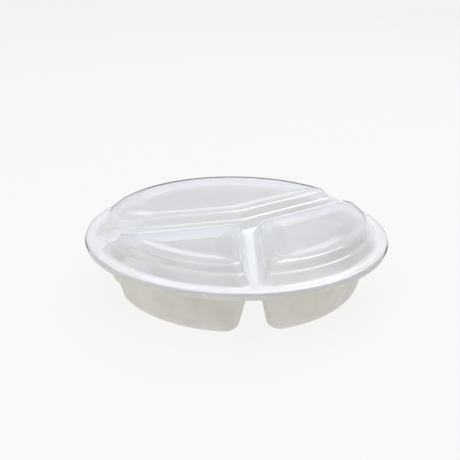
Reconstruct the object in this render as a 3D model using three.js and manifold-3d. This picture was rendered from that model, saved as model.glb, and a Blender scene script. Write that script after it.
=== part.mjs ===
// A round takeaway container: a moulded-fibre tray with three hanging compartments, and a clear lid with three domes.
// Millimetres, +Z up. The origin is under the centre of the rim, on the surface that the tray stands on.

import * as THREE from "three";
import Module from "manifold-3d";

// Driving dimensions. RIM_TOP is the height of the lid's flange, where every dome and the groove start.
const RIM_RADIUS = 115;
const RIM_TOP = 43.2;
const LID_WALL = 0.5;
const TRAY_WALL = 1;
const GAP = 0.3;

// The lid's skirt, and the tray's turned-down lip inside it. Both flare outwards to their lower edge.
const SKIRT_DROP = 3.2;
const LIP_DROP = 5.4;
const RIM_FLARE = 0.7;
const EDGE_ROUND = 0.6;

// Compartments: the outer wall's radius at RIM_TOP, how far each wall leans in from there to the floor,
// and the fillets round the floor and under the flange.
const POD_RADIUS = 103.6;
const POD_LEAN = 10.8;
const POD_SIDE_LEAN = 9;
const FLOOR_FILLET = 9.5;
const BROW_FILLET = 1.5;
const POD_INNER_CORNER = 5;
const POD_OUTER_CORNER = 7.5;
const POD_CORNER_SHRINK = 0.23;

// A dome's skin at six stations: its foot, the ledge's two edges, the ridge's two edges and the sunk panel's edge.
// Heights are above RIM_TOP. Insets run inwards from the foot, and the walls beside the front arm are steeper.
const DOME_RADIUS = 107.1;
const DOME_HEIGHTS = [0, 6.5, 7.1, 12.8, 12.8, 10.4];
const DOME_INSETS = [0, 4.2, 6.4, 9.4, 16.4, 28];
const STEEP_INSETS = [0, 3, 3.9, 5, 11, 21.5];
const RIDGE_STATION = 3;

// The three dividing arms run out from one off-centre junction, each at a bearing in degrees counter-clockwise
// from +X. podHalf and domeHalf are half the distance across the arm between two compartments' outer walls and
// between two domes' feet, at RIM_TOP.
const JUNCTION = new THREE.Vector2(9.2, -5.1);
const LEFT_ARM = { bearing: 197.3, podHalf: 3.1, domeHalf: 2.6, domeInsets: DOME_INSETS };
const FRONT_ARM = { bearing: 271.9, podHalf: 2.2, domeHalf: 3.3, domeInsets: STEEP_INSETS };
const RIGHT_ARM = { bearing: 38.1, podHalf: 3.1, domeHalf: 2.8, domeInsets: DOME_INSETS };

// The cells between the arms, counter-clockwise. Corner radii are for the corners at the arm a cell starts from,
// at the arm it ends at and at the junction, first round the dome's walls and then round its sunk panel.
const CELLS = [
  { from: RIGHT_ARM, to: LEFT_ARM, domeCorners: [6, 20, 6], panelCorners: [8, 14, 6] },
  { from: LEFT_ARM, to: FRONT_ARM, domeCorners: [6, 6, 6], panelCorners: [4, 4, 4] },
  { from: FRONT_ARM, to: RIGHT_ARM, domeCorners: [6, 7, 6], panelCorners: [10, 14, 5] },
];

// Facets.
const CORNER_STEPS = 4;
const ARC_STEP_DEGREES = 8;
const CIRCLE_STEPS = 72;
const FILLET_STEPS = 4;

const CENTRE = new THREE.Vector2();
const wasm = await Module();
wasm.setup();

// The unit vector at an angle in radians, counter-clockwise from +X.
function heading(angle) {
  return new THREE.Vector2(Math.cos(angle), Math.sin(angle));
}

function arc(centre, radius, start, end, steps) {
  return new THREE.ArcCurve(centre.x, centre.y, radius, start, end, false).getPoints(steps);
}

// The centre of the corner arc that touches a line beside an arm, and the outer circle from inside.
function outerCorner(along, inward, half, radius, corner) {
  const foot = JUNCTION.clone().addScaledVector(inward, half + corner);
  const back = foot.dot(along);
  const travel = Math.sqrt(back ** 2 - foot.lengthSq() + (radius - corner) ** 2) - back;
  return foot.addScaledVector(along, travel);
}

// The centre of the corner arc at the junction, at given distances in from the two arms.
function innerCorner(inwardA, distanceA, inwardB, distanceB) {
  const cross = inwardA.cross(inwardB);
  const x = (distanceA * inwardB.y - distanceB * inwardA.y) / cross;
  const y = (inwardA.x * distanceB - inwardB.x * distanceA) / cross;
  return new THREE.Vector2(x, y).add(JUNCTION);
}

// One cell's outline in plan, counter-clockwise: out beside one arm, round the rim and back beside the next arm.
// halves are the distances from the two arms, and corners the radii at those arms and at the junction.
function cellOutline(cell, halves, radius, corners) {
  const a = THREE.MathUtils.degToRad(cell.from.bearing);
  const b = THREE.MathUtils.degToRad(cell.to.bearing);
  const span = THREE.MathUtils.euclideanModulo(cell.to.bearing - cell.from.bearing, 360);
  const arcSteps = Math.round(span / ARC_STEP_DEGREES);
  const inwardA = heading(a + Math.PI / 2);
  const inwardB = heading(b - Math.PI / 2);
  const farA = outerCorner(heading(a), inwardA, halves[0], radius, corners[0]);
  const farB = outerCorner(heading(b), inwardB, halves[1], radius, corners[1]);
  const near = innerCorner(inwardA, halves[0] + corners[2], inwardB, halves[1] + corners[2]);
  return [
    ...arc(farA, corners[0], a - Math.PI / 2, farA.angle(), CORNER_STEPS).slice(0, -1),
    ...arc(CENTRE, radius, farA.angle(), farB.angle(), arcSteps),
    ...arc(farB, corners[1], farB.angle(), b + Math.PI / 2, CORNER_STEPS).slice(1),
    ...arc(near, corners[2], b + Math.PI / 2, a - Math.PI / 2, CORNER_STEPS),
  ];
}

// A closed body through rings of equal count, each counter-clockwise from above, with a flat cap at each end.
function loft(rings) {
  const count = rings[0].points.length;
  const last = (rings.length - 1) * count;
  const triangles = [];
  for (let low = 0; low < last; low += count) {
    for (let i = 0; i < count; i++) {
      const next = (i + 1) % count;
      triangles.push(low + i, low + next, low + count + next);
      triangles.push(low + i, low + count + next, low + count + i);
    }
  }
  for (let i = 1; i < count - 1; i++) {
    triangles.push(0, i + 1, i);
    triangles.push(last, last + i, last + i + 1);
  }
  const vertices = rings.flatMap(({ points, z }) => points.flatMap(({ x, y }) => [x, y, z]));
  const mesh = new wasm.Mesh({
    numProp: 3,
    vertProperties: Float32Array.from(vertices),
    triVerts: Uint32Array.from(triangles),
  });
  return new wasm.Manifold(mesh);
}

// A round plate with a turned-down edge of the same thickness, from top down by drop and out to radius.
function rimPlate(radius, top, drop, wall) {
  const profile = [
    [radius - RIM_FLARE - wall, top - wall],
    [radius - wall, top - drop],
    [radius, top - drop],
    [radius - RIM_FLARE, top - EDGE_ROUND],
    [radius - RIM_FLARE - EDGE_ROUND, top],
  ];
  const rings = profile.map(([ringRadius, z]) => ({
    points: arc(CENTRE, ringRadius, 0, 2 * Math.PI, CIRCLE_STEPS).slice(0, -1),
    z,
  }));
  return loft(rings);
}

// One of the tray's two skins, thickness in from the outer one.
function traySkin(thickness) {
  return {
    thickness,
    floor: thickness,
    top: RIM_TOP - LID_WALL - GAP - TRAY_WALL + thickness,
    fillet: FLOOR_FILLET - thickness,
    brow: BROW_FILLET + thickness,
  };
}

// How far a compartment's skin has drawn in at height z, with both fillets. Below zero it has flared out.
function skinInset(skin, lean, z) {
  const intoFillet = Math.max(0, skin.floor + skin.fillet - z);
  const intoBrow = Math.max(0, z - skin.top + skin.brow);
  const fillet = skin.fillet - Math.sqrt(skin.fillet ** 2 - intoFillet ** 2);
  const brow = skin.brow - Math.sqrt(skin.brow ** 2 - intoBrow ** 2);
  return skin.thickness + lean * (1 - z / RIM_TOP) + fillet - brow;
}

// The heights of a skin's rings: round the floor fillet, up the wall and round the brow.
function skinHeights(skin) {
  const turns = Array.from({ length: FILLET_STEPS + 1 }, (_, i) => (i / FILLET_STEPS) * (Math.PI / 2));
  return [
    ...turns.map((turn) => skin.floor + skin.fillet * (1 - Math.cos(turn))),
    ...turns.map((turn) => skin.top - skin.brow * (1 - Math.sin(turn))),
  ];
}

// One compartment as a closed body inside a skin of the tray, carried on upwards by headroom.
function pod(cell, skin, headroom) {
  const rings = skinHeights(skin).map((z) => {
    const inset = skinInset(skin, POD_LEAN, z);
    const sideInset = skinInset(skin, POD_SIDE_LEAN, z);
    const corner = POD_OUTER_CORNER - POD_CORNER_SHRINK * inset;
    const halves = [cell.from.podHalf + sideInset, cell.to.podHalf + sideInset];
    return { points: cellOutline(cell, halves, POD_RADIUS - inset, [corner, corner, POD_INNER_CORNER]), z };
  });
  const top = rings.at(-1);
  return loft([...rings, { points: top.points, z: top.z + headroom }]);
}

function buildTray() {
  const outer = traySkin(0);
  const inner = traySkin(TRAY_WALL);
  const plate = rimPlate(RIM_RADIUS - LID_WALL - GAP, inner.top, LIP_DROP - LID_WALL - GAP, TRAY_WALL);
  const shell = CELLS.reduce((body, cell) => body.add(pod(cell, outer, TRAY_WALL / 2)), plate);
  return CELLS.reduce((body, cell) => body.subtract(pod(cell, inner, TRAY_WALL)), shell);
}

// One dome as a closed body under the lid's upper skin, or thickness below that, carried on downwards by footing.
function dome(cell, thickness, footing) {
  const rings = DOME_HEIGHTS.map((height, station) => {
    const drawnIn = station > RIDGE_STATION ? 0 : thickness;
    const halves = [cell.from, cell.to].map((arm) => arm.domeHalf + arm.domeInsets[station] + drawnIn);
    const towardPanel = Math.max(0, station - RIDGE_STATION) / (DOME_HEIGHTS.length - 1 - RIDGE_STATION);
    const corners = cell.domeCorners.map((corner, i) =>
      THREE.MathUtils.lerp(corner, cell.panelCorners[i], towardPanel),
    );
    const radius = DOME_RADIUS - DOME_INSETS[station] - drawnIn;
    return { points: cellOutline(cell, halves, radius, corners), z: RIM_TOP + height - thickness };
  });
  return loft([{ points: rings[0].points, z: rings[0].z - footing }, ...rings]);
}

function buildLid() {
  const plate = rimPlate(RIM_RADIUS, RIM_TOP, SKIRT_DROP, LID_WALL);
  const shell = CELLS.reduce((body, cell) => body.add(dome(cell, 0, LID_WALL / 2)), plate);
  return CELLS.reduce((body, cell) => body.subtract(dome(cell, LID_WALL, LID_WALL)), shell);
}

function meshOf(name, solid, material) {
  const { vertProperties, triVerts } = solid.getMesh();
  const geometry = new THREE.BufferGeometry();
  geometry.setAttribute("position", new THREE.BufferAttribute(vertProperties, 3));
  geometry.setIndex(new THREE.BufferAttribute(triVerts, 1));
  geometry.computeVertexNormals();
  const mesh = new THREE.Mesh(geometry, material);
  mesh.name = name;
  return mesh;
}

const fibre = new THREE.MeshStandardMaterial({ color: 0xcfccc3, roughness: 0.9, metalness: 0 });
const clearPlastic = new THREE.MeshStandardMaterial({
  color: 0xe4e8ea,
  roughness: 0.12,
  metalness: 0,
  transparent: true,
  opacity: 0.35,
});

const group = new THREE.Group();
group.add(meshOf("tray", buildTray(), fibre));
group.add(meshOf("lid", buildLid(), clearPlastic));

export default group;
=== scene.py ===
# A round takeaway container: a moulded-fibre tray with three compartments, and a clear lid with three domes.
# Shapes are worked out in millimetres, with the origin under the centre of the rim, and written in metres.
import math

import bmesh
import bpy
import numpy as np
from mathutils import Matrix, Vector


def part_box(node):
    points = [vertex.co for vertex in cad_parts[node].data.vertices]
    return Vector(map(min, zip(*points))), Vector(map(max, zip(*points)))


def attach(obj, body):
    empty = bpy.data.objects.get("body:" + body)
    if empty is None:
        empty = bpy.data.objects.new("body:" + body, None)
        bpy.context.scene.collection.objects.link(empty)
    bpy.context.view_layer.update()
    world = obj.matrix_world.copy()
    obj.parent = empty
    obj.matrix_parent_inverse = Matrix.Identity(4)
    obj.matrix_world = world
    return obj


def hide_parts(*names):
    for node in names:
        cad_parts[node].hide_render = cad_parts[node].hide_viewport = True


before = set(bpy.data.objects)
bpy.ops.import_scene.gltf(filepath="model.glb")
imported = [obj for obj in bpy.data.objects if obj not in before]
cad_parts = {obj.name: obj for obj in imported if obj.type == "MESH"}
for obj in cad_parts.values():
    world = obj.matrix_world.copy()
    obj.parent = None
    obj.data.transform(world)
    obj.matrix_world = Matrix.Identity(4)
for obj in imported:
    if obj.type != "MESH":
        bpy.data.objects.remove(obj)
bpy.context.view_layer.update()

MM = 0.001
LID_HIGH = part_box("lid")[1] / MM
TRAY_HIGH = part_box("tray")[1] / MM

# Driving dimensions. RIM_TOP is the height of the lid's flange, where every dome and the groove start.
DOME_RISE = 12.8
RIM_RADIUS = LID_HIGH.x
RIM_TOP = LID_HIGH.z - DOME_RISE
LID_WALL = 0.5
TRAY_RADIUS = TRAY_HIGH.x
TRAY_TOP = TRAY_HIGH.z
TRAY_WALL = 1.0

# The lid's skirt, and the tray's turned-down lip inside it. Both flare outwards to their lower edge.
SKIRT_DROP = 2.8
LIP_DROP = 4.6
RIM_FLARE = 0.7
RIM_ROUND = 0.9
FLANGE_RUN = 5.0

# Compartments: the outer wall's radius at RIM_TOP, how far each wall leans in from there to the floor, and
# the fillets of the inner face round the floor and under the flange. BROW_STRETCH is how many times wider
# than high the upper fillet is at the outer wall. The outer corners grow tighter as the wall draws in.
POD_RADIUS = 103.6
POD_LEAN = 10.8
POD_SIDE_LEAN = 9.0
FLOOR_FILLET = 8.5
BROW_FILLET = 2.5
BROW_STRETCH = 1.8
POD_INNER_CORNER = 5.0
POD_OUTER_CORNER = 7.5
POD_CORNER_SHRINK = 0.23

# A dome's outer skin from its foot to its sunk panel: height above RIM_TOP, inset from the foot, inset at
# the steeper front arm, how far its corners have turned from the walls' radii to the panel's, and the length
# that the curve takes off each side of the corner there. RIDGE_FALL is how far a ridge falls to its outer
# edge.
DOME_RADIUS = 107.1
RIDGE_FALL = 0.7
DOME_STATIONS = [
    (0.0, -1.7, -1.7, 0.0, 0.0),
    (0.0, 0.0, 0.0, 0.0, 1.6),
    (6.5, 4.2, 3.0, 0.0, 1.0),
    (7.1, 6.4, 3.9, 0.0, 1.0),
    (DOME_RISE - RIDGE_FALL, 9.4, 5.0, 0.0, 2.2),
    (DOME_RISE, 16.4, 11.0, 0.5, 1.6),
    (10.4, 28.0, 21.5, 1.0, 2.2),
    (10.4, 30.5, 24.0, 1.0, 0.0),
]

# The three dividing arms run out from one off-centre junction, each at a bearing in degrees anticlockwise
# from +X. pod and dome are half the distance across the arm, at RIM_TOP, between two compartments or domes.
JUNCTION = np.array([9.2, -5.1])
LEFT_ARM = {"bearing": 197.3, "pod": 3.1, "dome": 2.6, "steep": False}
FRONT_ARM = {"bearing": 271.9, "pod": 2.2, "dome": 3.3, "steep": True}
RIGHT_ARM = {"bearing": 38.1, "pod": 3.1, "dome": 2.8, "steep": False}

# The cells between the arms, anticlockwise. Corner radii are for the corners at the arm a cell starts from,
# at the arm it ends at and at the junction, first round the dome's walls and then round its sunk panel.
CELLS = [
    {"from": RIGHT_ARM, "to": LEFT_ARM, "dome": [6, 20, 6], "panel": [8, 14, 6]},
    {"from": LEFT_ARM, "to": FRONT_ARM, "dome": [6, 6, 6], "panel": [4, 4, 4]},
    {"from": FRONT_ARM, "to": RIGHT_ARM, "dome": [6, 7, 6], "panel": [10, 14, 5]},
]

# Roundings of the two sheets' cut edges.
TRAY_EDGE_ROUND = 0.3
LID_EDGE_ROUND = 0.12

# Fineness of the meshes.
CORNER_STEPS = 12
SIDE_STEPS = 14
ARC_STEP_DEGREES = 1.6
CIRCLE_STEPS = 360
CURVE_STEPS = 7
WALL_STEPS = 8
PANEL_RINGS = 5

# Fibre: its two tones, and the fineness of its mottle and of its grain.
FIBRE_DARK = (0.705, 0.68, 0.622, 1)
FIBRE_LIGHT = (0.785, 0.765, 0.712, 1)
MOTTLE_SCALE = 60
GRAIN_SCALE = 900

# Clear plastic: its own colour, the colour of its shadow, the colour of its haze where it is plain, and the
# near-black of its painted shade, a dark outline painted along the outer ridges and the skirt.
PLASTIC = (0.95, 0.95, 0.965, 1)
PLASTIC_SHADOW = (0.96, 0.97, 0.98, 1)
HAZE_PLAIN = (0.865, 0.885, 0.94, 1)
HAZE_PAINTED_SHADE = (0.12, 0.12, 0.11, 1)

# How much haze there is, and how much painted shade, a dark outline, the outer ridges and the skirt get, by
# how far the face is turned away from the viewer. The third value is the haze that full painted shade adds.
# GLOW_SHARE is the part of the haze that lets light through.
HAZE_BY_SLANT = [(0.3, 0.28), (0.55, 0.21), (0.64, 0.33), (0.7, 0.28), (0.9, 0.55)]
PAINTED_SHADE_BY_SLANT = [(0.72, 0.0), (0.78, 1.0)]
HAZE_FROM_PAINTED_SHADE = 0.5
GLOW_SHARE = 0.3

# Where the painted shade goes: outside a radius, on the ridges' tops and on the skirt. Each pair is where
# that sets in and where it is complete, with heights above RIM_TOP. The last value is the least painted
# shade that all the skirt gets.
PAINTED_SHADE_RADII = (91.0, 92.5)
PAINTED_SHADE_RIDGE = (11.2, 11.8)
PAINTED_SHADE_SKIRT = (-RIM_ROUND / 2, -RIM_ROUND)
SKIRT_PAINTED_SHADE = 0.22

# The camera looks at the middle of the rim's top.
VIEW_DISTANCE = 5 * RIM_RADIUS
VIEW_ELEVATION = 20.92
VIEW_ROLL = 1.03
LENS = 58.34
SHIFT = (-0.0148, -0.0039)

# The studio, in metres. Each lamp: name, place, aim, width and height, watts and colour.
FLOOR_RADIUS = 8
FLOOR_GREY = (0.08, 0.08, 0.08, 1)
FLOOR_GLOW = 0.86
WORLD_COLOUR = (1, 0.975, 0.94, 1)
WORLD_STRENGTH = 0.16
COOL = (0.97, 0.985, 1)
COOLISH = (0.98, 0.99, 1)
WARM = (1, 0.985, 0.96)
LAMPS = [
    ("overhead", (0, -0.3, 1.3), (0, 0, 0), (2.2, 1.8), 19.5, COOL),
    ("window", (0.5, 1.3, 1.6), (0, 0, 0), (1.0, 0.8), 12, COOLISH),
    ("window_sill", (0.2, 1.55, 1.35), (0, 0, 0), (1.0, 0.8), 1.1, COOLISH),
    ("behind", (0, 2.2, 0.7), (0, 0, 0.1), (3.6, 1.2), 1, COOL),
    ("low", (0, 3.6, 0.4), (0, 0, 0.1), (6.8, 0.75), 15, (1, 1, 1)),
    ("left", (-2.1, -0.4, 0.6), (0, 0, 0), (1.4, 1.2), 9, WARM),
    ("right", (1.9, -0.8, 0.7), (0, 0, 0), (1.4, 1.4), 5, WARM),
]


def heading(angle):
    return np.array([math.cos(angle), math.sin(angle)])


def arc(centre, radius, start, end, steps):
    angles = np.linspace(start, end, steps + 1)[:, None]
    return np.asarray(centre) + radius * np.hstack([np.cos(angles), np.sin(angles)])


def outer_corner(along, inward, half, radius, corner):
    """The centre of the corner arc that touches a line beside an arm, and the outer circle from inside."""
    foot = JUNCTION + inward * (half + corner)
    back = foot @ along
    return foot + along * (math.sqrt(back**2 - foot @ foot + (radius - corner) ** 2) - back)


def joined(arcs):
    """The arcs in turn, with evenly spaced points along the straight stretch after each."""
    pieces = []
    for this, following in zip(arcs, arcs[1:] + arcs[:1]):
        pieces.append(this)
        pieces.append(np.linspace(this[-1], following[0], SIDE_STEPS + 1)[1:-1])
    return np.vstack(pieces)


def cell_outline(cell, halves, radius, corners):
    """One cell's outline in plan, anticlockwise, at given distances from its two arms and the centre."""
    a = math.radians(cell["from"]["bearing"])
    b = math.radians(cell["to"]["bearing"])
    span = (cell["to"]["bearing"] - cell["from"]["bearing"]) % 360
    inward_a = heading(a + math.pi / 2)
    inward_b = heading(b - math.pi / 2)
    far_a = outer_corner(heading(a), inward_a, halves[0], radius, corners[0])
    far_b = outer_corner(heading(b), inward_b, halves[1], radius, corners[1])
    reach = [halves[0] + corners[2], halves[1] + corners[2]]
    near = JUNCTION + np.linalg.solve(np.array([inward_a, inward_b]), reach)
    turn_a = math.atan2(far_a[1], far_a[0])
    turn_b = math.atan2(far_b[1], far_b[0])
    a, b, turn_a, turn_b = in_order(a, b, turn_a, turn_b)
    rim = np.vstack([
        arc(far_a, corners[0], a - math.pi / 2, turn_a, CORNER_STEPS)[:-1],
        arc((0, 0), radius, turn_a, turn_b, round(span / ARC_STEP_DEGREES)),
        arc(far_b, corners[1], turn_b, b + math.pi / 2, CORNER_STEPS)[1:],
    ])
    heel = arc(near, corners[2], b + math.pi / 2, a + 3 * math.pi / 2, CORNER_STEPS)
    return joined([rim, heel])


def in_order(a, b, turn_a, turn_b):
    """The four angles with whole turns added, so that they grow anticlockwise round the cell."""
    turn = 2 * math.pi
    turn_a = a + (turn_a - a + math.pi) % turn - math.pi
    b = a + (b - a) % turn
    turn_b = b + (turn_b - b + math.pi) % turn - math.pi
    return a, b, turn_a, turn_b


def softened(stations):
    """A path through stations. A station's last value is what a curve takes off each side of its corner."""
    points = [np.array(station[:-1]) for station in stations]
    path = [points[0]]
    for i in range(1, len(points) - 1):
        before = points[i - 1] - points[i]
        after = points[i + 1] - points[i]
        start = points[i] + before * stations[i][-1] / np.hypot(*before[:2])
        end = points[i] + after * stations[i][-1] / np.hypot(*after[:2])
        for t in np.linspace(0, 1, CURVE_STEPS):
            path.append((1 - t) ** 2 * start + 2 * t * (1 - t) * points[i] + t**2 * end)
    path.append(points[-1])
    return path


def with_height(outline, z):
    return np.column_stack([outline, np.full(len(outline), z)])


def dome_rings(cell):
    """One dome's outer skin, from the flange up its walls, over its ridge and down to its sunk panel."""
    rings = []
    for height, inset, steep_inset, turned in softened(DOME_STATIONS):
        arms = [cell["from"], cell["to"]]
        halves = [arm["dome"] + (steep_inset if arm["steep"] else inset) for arm in arms]
        corners = [dome + (panel - dome) * turned for dome, panel in zip(cell["dome"], cell["panel"])]
        outline = cell_outline(cell, halves, DOME_RADIUS - inset, corners)
        rings.append(with_height(outline, RIM_TOP + height))
    return rings


def pod_inset(lean, stretch, z):
    """How far a compartment's inner face has drawn in at height z. Below zero it has flared out."""
    into_fillet = max(0.0, TRAY_WALL + FLOOR_FILLET - z)
    into_brow = max(0.0, z - TRAY_TOP + BROW_FILLET)
    fillet = FLOOR_FILLET - math.sqrt(max(0.0, FLOOR_FILLET**2 - into_fillet**2))
    brow = BROW_FILLET - math.sqrt(max(0.0, BROW_FILLET**2 - into_brow**2))
    return TRAY_WALL + lean * (1 - z / RIM_TOP) + fillet - brow * stretch


def pod_heights():
    """The heights of a compartment's rings: round the brow, down the wall and round the floor fillet."""
    turns = np.linspace(0, math.pi / 2, 2 * CURVE_STEPS)
    brow = TRAY_TOP - BROW_FILLET * (1 - np.cos(turns))
    floor = TRAY_WALL + FLOOR_FILLET * (1 - np.sin(turns))
    wall = np.linspace(brow[-1], floor[0], WALL_STEPS + 1)[1:-1]
    return [*brow, *wall, *floor]


def pod_rings(cell):
    rings = []
    for z in pod_heights():
        inset = pod_inset(POD_LEAN, BROW_STRETCH, z)
        side_inset = pod_inset(POD_SIDE_LEAN, 1, z)
        corner = POD_OUTER_CORNER - POD_CORNER_SHRINK * inset
        halves = [cell["from"]["pod"] + side_inset, cell["to"]["pod"] + side_inset]
        outline = cell_outline(cell, halves, POD_RADIUS - inset, [corner, corner, POD_INNER_CORNER])
        rings.append(with_height(outline, z))
    return rings


def rim_rings(radius, top, drop):
    """The rim's outer face, from its lower edge up to the flange and a little way in."""
    stations = [
        (top, radius - RIM_FLARE - FLANGE_RUN, 0.0),
        (top, radius - RIM_FLARE, RIM_ROUND),
        (top - drop, radius, 0.0),
    ]
    return [
        with_height(arc((0, 0), ring_radius, 0, 2 * math.pi, CIRCLE_STEPS)[:-1], z)
        for z, ring_radius in softened(stations)
    ]


def add_rings(mesh, rings):
    """Adds a band of quads through rings of equal count. Returns the first and the last ring's vertices."""
    rows = [[mesh.verts.new(Vector(point) * MM) for point in ring] for ring in rings]
    for low, high in zip(rows, rows[1:]):
        for i in range(len(low)):
            j = (i + 1) % len(low)
            mesh.faces.new([low[i], low[j], high[j], high[i]])
    return rows[0], rows[-1]


def add_cap(mesh, edge):
    """Closes a ring with smaller copies of itself and a point in the middle."""
    middle = sum((vertex.co for vertex in edge), Vector()) / len(edge)
    outer = edge
    for step in range(1, PANEL_RINGS):
        inner = [mesh.verts.new(vertex.co.lerp(middle, step / PANEL_RINGS)) for vertex in edge]
        for i in range(len(edge)):
            j = (i + 1) % len(edge)
            mesh.faces.new([outer[i], outer[j], inner[j], inner[i]])
        outer = inner
    centre = mesh.verts.new(middle)
    for i in range(len(edge)):
        mesh.faces.new([outer[i], outer[(i + 1) % len(edge)], centre])


def loop_edges(mesh, ring):
    return [mesh.edges.get([ring[i], ring[(i + 1) % len(ring)]]) for i in range(len(ring))]


def pressed_sheet(name, rim, hollows, wall, edge_round):
    """A sheet pressed to shape: a rim, a flat web and the hollows or domes in it. wall is its thickness."""
    mesh = bmesh.new()
    web = loop_edges(mesh, add_rings(mesh, rim)[0])
    for rings in hollows:
        first, last = add_rings(mesh, rings)
        add_cap(mesh, last)
        web += loop_edges(mesh, first)
    bmesh.ops.triangle_fill(mesh, use_beauty=True, edges=web, normal=(0, 0, 1))
    bmesh.ops.recalc_face_normals(mesh, faces=mesh.faces)
    if sum(face.normal.z * face.calc_area() for face in mesh.faces) < 0:
        bmesh.ops.reverse_faces(mesh, faces=mesh.faces)
    data = bpy.data.meshes.new(name)
    mesh.to_mesh(data)
    mesh.free()
    data.shade_smooth()
    sheet = bpy.data.objects.new(name, data)
    bpy.context.collection.objects.link(sheet)
    thicken(sheet, wall, edge_round)
    return sheet


def thicken(sheet, wall, edge_round):
    solidify = sheet.modifiers.new("wall", "SOLIDIFY")
    solidify.thickness = wall * MM
    solidify.offset = -1
    solidify.use_even_offset = True
    bevel = sheet.modifiers.new("edge", "BEVEL")
    bevel.width = edge_round * MM
    bevel.segments = 3
    bevel.limit_method = "ANGLE"
    bevel.angle_limit = math.radians(50)


def make_tray():
    rim = rim_rings(TRAY_RADIUS, TRAY_TOP, LIP_DROP)
    pods = [pod_rings(cell) for cell in CELLS]
    return pressed_sheet("fibre_tray", rim, pods, TRAY_WALL, TRAY_EDGE_ROUND)


def make_lid():
    rim = rim_rings(RIM_RADIUS, RIM_TOP, SKIRT_DROP)
    domes = [dome_rings(cell) for cell in CELLS]
    return pressed_sheet("clear_lid", rim, domes, LID_WALL, LID_EDGE_ROUND)


def new_material(name):
    material = bpy.data.materials.new(name)
    material.use_nodes = True
    material.node_tree.nodes.clear()
    return material, material.node_tree.nodes, material.node_tree.links


def fibre_material():
    """Pressed plant fibre: matt, warm grey and faintly mottled, with a fine grain pressed into its face."""
    material, nodes, links = new_material("moulded_fibre")
    out = nodes.new("ShaderNodeOutputMaterial")
    shader = nodes.new("ShaderNodeBsdfPrincipled")
    shader.inputs["Roughness"].default_value = 0.88
    shader.inputs["Specular IOR Level"].default_value = 0.25
    place = nodes.new("ShaderNodeTexCoord").outputs["Object"]
    links.new(fibre_tone(nodes, links, place), shader.inputs["Base Color"])
    links.new(fibre_grain(nodes, links, place), shader.inputs["Normal"])
    links.new(shader.outputs["BSDF"], out.inputs["Surface"])
    return material


def noise(nodes, links, place, scale, detail):
    texture = nodes.new("ShaderNodeTexNoise")
    texture.inputs["Scale"].default_value = scale
    texture.inputs["Detail"].default_value = detail
    links.new(place, texture.inputs["Vector"])
    return texture.outputs["Fac"]


def fibre_tone(nodes, links, place):
    tone = nodes.new("ShaderNodeValToRGB")
    tone.color_ramp.elements[0].position = 0.3
    tone.color_ramp.elements[0].color = FIBRE_DARK
    tone.color_ramp.elements[1].position = 0.7
    tone.color_ramp.elements[1].color = FIBRE_LIGHT
    links.new(noise(nodes, links, place, MOTTLE_SCALE, 6), tone.inputs["Fac"])
    return tone.outputs["Color"]


def fibre_grain(nodes, links, place):
    bump = nodes.new("ShaderNodeBump")
    bump.inputs["Strength"].default_value = 0.25
    bump.inputs["Distance"].default_value = 0.2 * MM
    links.new(noise(nodes, links, place, GRAIN_SCALE, 4), bump.inputs["Height"])
    return bump.outputs["Normal"]


def clear_material():
    """Thin clear plastic. Its haze and its painted edge shade change with the slant. Lamps shine through it.
    """
    material, nodes, links = new_material("clear_plastic")
    out = nodes.new("ShaderNodeOutputMaterial")
    slant = nodes.new("ShaderNodeLayerWeight")
    slant.inputs["Blend"].default_value = 0.5
    haze = grey_ramp(nodes, links, slant.outputs["Facing"], HAZE_BY_SLANT)
    # Painted shade: a near-black haze by slant along the outer ridges and the skirt, drawing a dark outline
    # there.
    edge = grey_ramp(nodes, links, slant.outputs["Facing"], PAINTED_SHADE_BY_SLANT)
    painted_shade = painted_edge_shade(nodes, links, edge)
    veil = nodes.new("ShaderNodeMath")
    veil.operation = "MULTIPLY_ADD"
    veil.inputs[1].default_value = HAZE_FROM_PAINTED_SHADE
    links.new(painted_shade, veil.inputs[0])
    links.new(haze, veil.inputs[2])
    sheet = mixed(nodes, links, veil.outputs["Value"], glass_layer(nodes), haze_layer(nodes, links, painted_shade))
    through = nodes.new("ShaderNodeBsdfTransparent")
    through.inputs["Color"].default_value = PLASTIC_SHADOW
    ray = nodes.new("ShaderNodeLightPath")
    whole = mixed(nodes, links, ray.outputs["Is Shadow Ray"], sheet, through.outputs["BSDF"])
    links.new(whole, out.inputs["Surface"])
    return material


def glass_layer(nodes):
    glass = nodes.new("ShaderNodeBsdfPrincipled")
    glass.inputs["Base Color"].default_value = PLASTIC
    glass.inputs["Roughness"].default_value = 0.07
    glass.inputs["IOR"].default_value = 1.49
    glass.inputs["Transmission Weight"].default_value = 1.0
    return glass.outputs["BSDF"]


def haze_layer(nodes, links, painted_shade):
    """The milky part of the plastic, which scatters light back and through. Painted shade darkens its
    colour.
    """
    tint = nodes.new("ShaderNodeValToRGB")
    tint.color_ramp.elements[0].color = HAZE_PLAIN
    tint.color_ramp.elements[1].color = HAZE_PAINTED_SHADE
    links.new(painted_shade, tint.inputs["Fac"])
    cloud = nodes.new("ShaderNodeBsdfDiffuse")
    glow = nodes.new("ShaderNodeBsdfTranslucent")
    links.new(tint.outputs["Color"], cloud.inputs["Color"])
    links.new(tint.outputs["Color"], glow.inputs["Color"])
    milk = nodes.new("ShaderNodeMixShader")
    milk.inputs["Fac"].default_value = GLOW_SHARE
    links.new(cloud.outputs["BSDF"], milk.inputs[1])
    links.new(glow.outputs["BSDF"], milk.inputs[2])
    return milk.outputs["Shader"]


def mixed(nodes, links, share, first, second):
    mix = nodes.new("ShaderNodeMixShader")
    links.new(share, mix.inputs["Fac"])
    links.new(first, mix.inputs[1])
    links.new(second, mix.inputs[2])
    return mix.outputs["Shader"]


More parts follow.
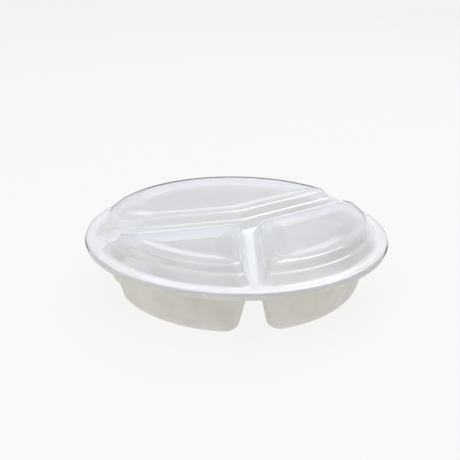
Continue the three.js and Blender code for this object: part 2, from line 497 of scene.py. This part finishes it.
def grey_ramp(nodes, links, value, stops):
    """A value turned into a grey by a ramp of (position, grey) pairs."""
    ramp = nodes.new("ShaderNodeValToRGB")
    elements = ramp.color_ramp.elements
    elements[0].position = stops[0][0]
    elements[1].position = stops[-1][0]
    for position, _ in stops[1:-1]:
        elements.new(position)
    for element, (_, grey) in zip(elements, stops):
        element.color = (grey, grey, grey, 1)
    links.new(value, ramp.inputs["Fac"])
    return ramp.outputs["Color"]


def painted_edge_shade(nodes, links, slanted):
    """Painted shade: by the slant on the outer ridges and the skirt, and some on all the skirt."""
    place = nodes.new("ShaderNodeTexCoord").outputs["Object"]
    split = nodes.new("ShaderNodeSeparateXYZ")
    links.new(place, split.inputs["Vector"])
    height = split.outputs["Z"]
    outside = ranged(nodes, links, distance_out(nodes, links, place), PAINTED_SHADE_RADII, (0.0, 1.0))
    ridge = ranged(nodes, links, height, [RIM_TOP + above for above in PAINTED_SHADE_RIDGE], (0.0, 1.0))
    skirt_heights = [RIM_TOP + above for above in PAINTED_SHADE_SKIRT]
    skirt = ranged(nodes, links, height, skirt_heights, (0.0, 1.0))
    shade = ranged(nodes, links, height, skirt_heights, (0.0, SKIRT_PAINTED_SHADE))
    ends = combined(nodes, links, "MAXIMUM", ridge, skirt)
    edges = combined(nodes, links, "MULTIPLY", ends, outside)
    along = combined(nodes, links, "MULTIPLY", edges, slanted)
    return combined(nodes, links, "MAXIMUM", along, shade)


def distance_out(nodes, links, place):
    """The distance from the object's upright axis."""
    flat = nodes.new("ShaderNodeVectorMath")
    flat.operation = "MULTIPLY"
    flat.inputs[1].default_value = (1, 1, 0)
    links.new(place, flat.inputs[0])
    reach = nodes.new("ShaderNodeVectorMath")
    reach.operation = "LENGTH"
    links.new(flat.outputs["Vector"], reach.inputs[0])
    return reach.outputs["Value"]


def ranged(nodes, links, value, ends, shares):
    """A value in metres turned into a share, from two ends in millimetres. It stays level beyond them."""
    change = nodes.new("ShaderNodeMapRange")
    change.inputs["From Min"].default_value = ends[0] * MM
    change.inputs["From Max"].default_value = ends[1] * MM
    change.inputs["To Min"].default_value = shares[0]
    change.inputs["To Max"].default_value = shares[1]
    links.new(value, change.inputs["Value"])
    return change.outputs["Result"]


def combined(nodes, links, operation, first, second):
    node = nodes.new("ShaderNodeMath")
    node.operation = operation
    links.new(first, node.inputs[0])
    links.new(second, node.inputs[1])
    return node.outputs["Value"]


def dress(piece, material, body, node):
    piece.data.materials.append(material)
    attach(piece, body)
    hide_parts(node)


def make_floor():
    bpy.ops.mesh.primitive_circle_add(
        vertices=96,
        radius=FLOOR_RADIUS,
        fill_type="NGON",
        location=(0, 0, 0),
    )
    floor = bpy.context.object
    floor.name = "studio_floor"
    material, nodes, links = new_material("studio_white")
    out = nodes.new("ShaderNodeOutputMaterial")
    diffuse = nodes.new("ShaderNodeBsdfDiffuse")
    diffuse.inputs["Color"].default_value = FLOOR_GREY
    glow = nodes.new("ShaderNodeEmission")
    glow.inputs["Strength"].default_value = FLOOR_GLOW
    both = nodes.new("ShaderNodeAddShader")
    links.new(diffuse.outputs["BSDF"], both.inputs[0])
    links.new(glow.outputs["Emission"], both.inputs[1])
    links.new(both.outputs["Shader"], out.inputs["Surface"])
    floor.data.materials.append(material)


def make_camera():
    tilt = math.radians(VIEW_ELEVATION)
    roll = math.radians(VIEW_ROLL)
    back = Vector((0, -math.cos(tilt), math.sin(tilt)))
    right = Vector((1, 0, 0))
    up = back.cross(right)
    across = right * math.cos(roll) + up * math.sin(roll)
    above = up * math.cos(roll) - right * math.sin(roll)
    camera = bpy.data.objects.new("camera", bpy.data.cameras.new("camera"))
    bpy.context.collection.objects.link(camera)
    target = Vector((0, 0, RIM_TOP))
    turn = Matrix((across, above, back)).transposed().to_4x4()
    camera.matrix_world = Matrix.Translation((target + back * VIEW_DISTANCE) * MM) @ turn
    camera.data.lens = LENS
    camera.data.sensor_width = 36
    camera.data.shift_x, camera.data.shift_y = SHIFT
    camera.data.clip_start = 0.01
    bpy.context.scene.camera = camera


def soft_light(name, place, aim, size, watts, colour):
    lamp = bpy.data.lights.new(name, "AREA")
    lamp.shape = "RECTANGLE"
    lamp.size, lamp.size_y = size
    lamp.energy = watts
    lamp.color = colour
    light = bpy.data.objects.new(name, lamp)
    light.location = place
    light.visible_camera = False
    light.rotation_euler = (Vector(aim) - light.location).to_track_quat("-Z", "Y").to_euler()
    bpy.context.collection.objects.link(light)


def make_lights():
    world = bpy.data.worlds.new("studio")
    world.use_nodes = True
    world.node_tree.nodes["Background"].inputs["Color"].default_value = WORLD_COLOUR
    world.node_tree.nodes["Background"].inputs["Strength"].default_value = WORLD_STRENGTH
    bpy.context.scene.world = world
    for name, place, aim, size, watts, colour in LAMPS:
        soft_light(name, place, aim, size, watts, colour)


tray = make_tray()
lid = make_lid()
dress(tray, fibre_material(), "tray", "tray")
dress(lid, clear_material(), "lid", "lid")
make_floor()
make_camera()
make_lights()
bpy.context.scene.view_settings.view_transform = "Standard"
